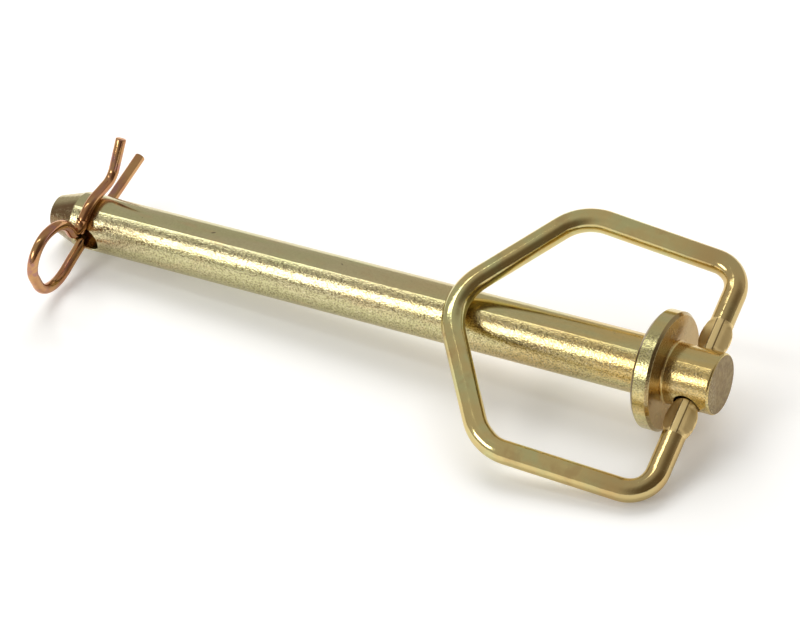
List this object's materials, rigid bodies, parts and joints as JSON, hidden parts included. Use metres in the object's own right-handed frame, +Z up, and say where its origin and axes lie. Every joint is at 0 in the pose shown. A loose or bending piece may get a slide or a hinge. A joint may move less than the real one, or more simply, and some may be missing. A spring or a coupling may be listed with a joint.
{
  "type": "hitch pin",
  "caption": "Collared hitch pin with a hinged wire handle at its head, a tapered end and a removable hairpin clip, laid on its side.",
  "frame": {"origin": "centre of the bounding box's base, on the surface that the pin lies on", "axes": "+X from the head towards the tip, 2.5 degrees above the pin's own sloping axis; +Z up; the handle's low side is at +Y"},
  "size_m": [0.2048, 0.0718, 0.0371],
  "materials": {
    "pin_body": "yellow chromate zinc plating over forged and turned steel, satin",
    "swing_handle": "yellow chromate zinc plating over drawn steel wire, semi-bright",
    "hairpin_clip": "bright yellow chromate zinc plating over spring steel wire, coppery iridescent"
  },
  "bodies": {
    "pin": {"pin_body": "pin_body"},
    "handle": {"swing_handle": "swing_handle"},
    "clip": {"hairpin_clip": "hairpin_clip"}
  },
  "joints": [
    {"name": "handle_swing", "type": "hinge", "parent": "pin", "child": "handle", "pos_m": [-0.09553, -0.00293, 0.01602], "axis": [0.0173, -0.9212, 0.3887], "range_deg": [0, 340]},
    {"name": "clip_pull", "type": "slide", "parent": "pin", "child": "clip", "axis": [-0.0088, 0.9803, -0.1974], "range_m": [0, 0.045], "deforming": ["hairpin_clip"]}
  ]
}
